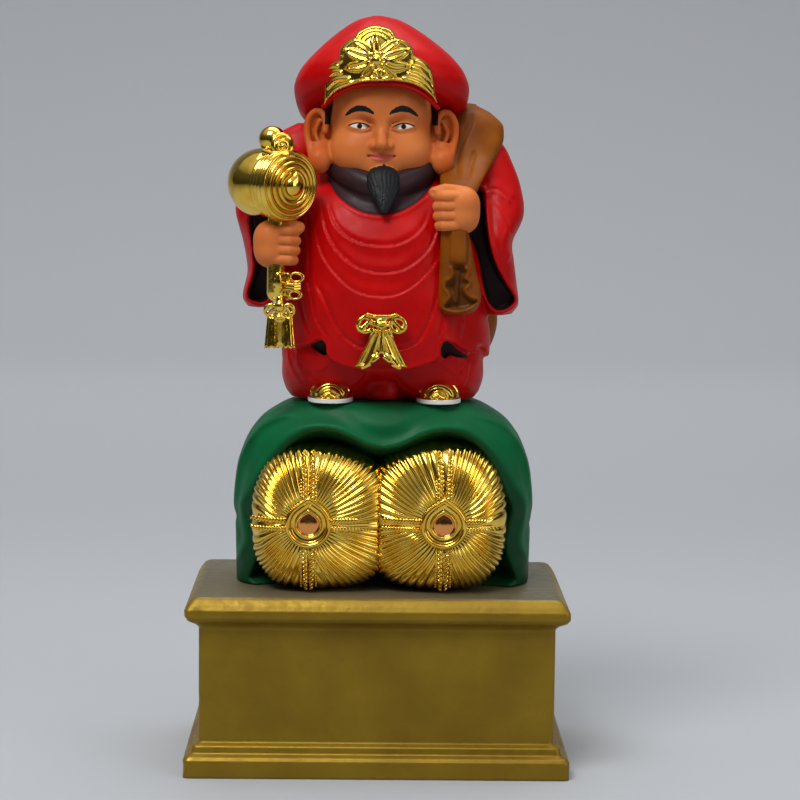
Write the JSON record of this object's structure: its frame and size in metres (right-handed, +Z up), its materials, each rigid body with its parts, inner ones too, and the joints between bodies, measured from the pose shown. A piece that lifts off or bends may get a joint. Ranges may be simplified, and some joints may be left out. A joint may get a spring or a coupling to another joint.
{
  "type": "lucky god figurine on a plinth",
  "caption": "Painted figurine of a stout bearded god in a red robe and cap, with mallet and sack, standing on straw bales under a green cloth, on a moulded rectangular plinth",
  "frame": {"origin": "middle of the plinth's underside", "axes": "+Z up, the figure looks along -Y, +X is the figure's left"},
  "size_m": [0.152, 0.09, 0.2982],
  "materials": {
    "plinth_gold_paint": "satin metallic gold paint",
    "green_vinyl": "satin paint",
    "gold_plating": "vacuum-plated, mirror bright",
    "red_vinyl": "satin paint",
    "skin_vinyl": "satin paint",
    "brown_vinyl": "satin paint",
    "shoe_gold": "vacuum-plated above a white sole"
  },
  "bodies": {
    "root": {"plinth": "plinth_gold_paint", "bale_cloth": "green_vinyl", "straw_bales": "gold_plating", "robe": "red_vinyl", "head": "skin_vinyl", "hat": "red_vinyl", "crown": "gold_plating", "right_hand": "skin_vinyl", "left_hand": "skin_vinyl", "mallet": "gold_plating", "sack": "brown_vinyl", "waist_bow": "gold_plating", "right_shoe": "shoe_gold", "left_shoe": "shoe_gold"}
  },
  "joints": []
}
